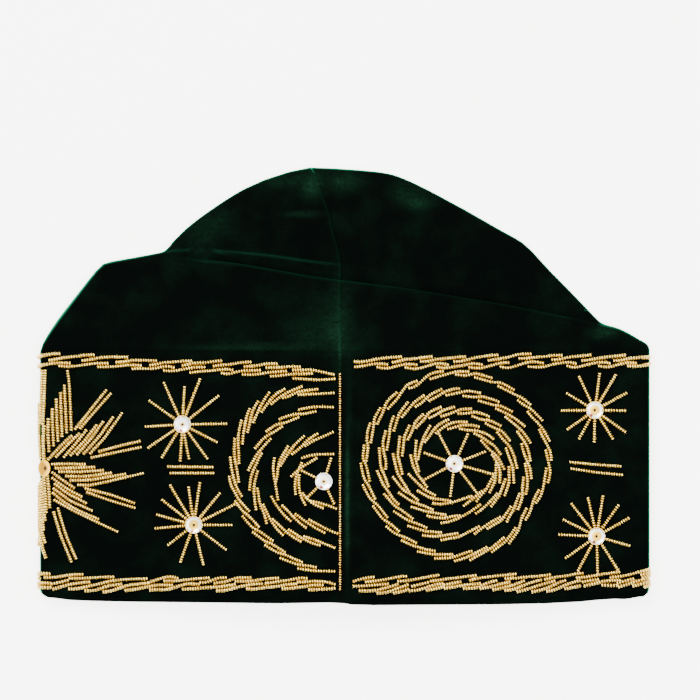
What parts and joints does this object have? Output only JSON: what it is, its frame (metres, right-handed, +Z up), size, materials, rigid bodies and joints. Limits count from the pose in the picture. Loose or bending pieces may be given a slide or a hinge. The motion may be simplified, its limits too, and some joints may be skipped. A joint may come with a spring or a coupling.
{
  "type": "beaded velvet hat",
  "caption": "Dark green velvet cap with a stiffened, bead-embroidered side wall and a soft folded crown, lying folded flat on its back panel.",
  "frame": {"origin": "on the surface that the hat lies on, under the middle of its outline", "axes": "+X across the hat from its left fold to its right fold, +Y from the rim towards the crown, +Z up from the surface"},
  "size_m": [0.298, 0.2099, 0.0225],
  "materials": {
    "velvet": "dark green cotton velvet, short pile with a soft sheen along folds",
    "bead_braid": "metallic champagne-gold glass seed beads, polished",
    "sequin": "pearly cupped sequin, glossy"
  },
  "bodies": {
    "root": {"side_band": "velvet", "crown": "velvet", "top_border": "bead_braid", "bottom_border": "bead_braid", "rosette_ring_1": "bead_braid", "rosette_ring_2": "bead_braid", "rosette_ring_3": "bead_braid", "rosette_ring_4": "bead_braid", "half_ring_1": "bead_braid", "half_ring_2": "bead_braid", "half_ring_3": "bead_braid", "half_ring_4": "bead_braid", "back_ring_1": "bead_braid", "back_ring_2": "bead_braid", "back_ring_3": "bead_braid", "back_ring_4": "bead_braid", "sequin_left_fold": "sequin", "sequin_star_upper_left": "sequin", "sequin_star_lower_left": "sequin", "sequin_half_rosette": "sequin", "sequin_rosette": "sequin", "sequin_star_upper_right": "sequin", "sequin_star_lower_right": "sequin", "sequin_back_burst": "sequin", "sequin_back_star_upper_right": "sequin", "sequin_back_star_lower_right": "sequin", "sequin_back_rosette": "sequin", "sequin_back_star_upper_left": "sequin", "sequin_back_star_lower_left": "sequin"}
  },
  "joints": []
}
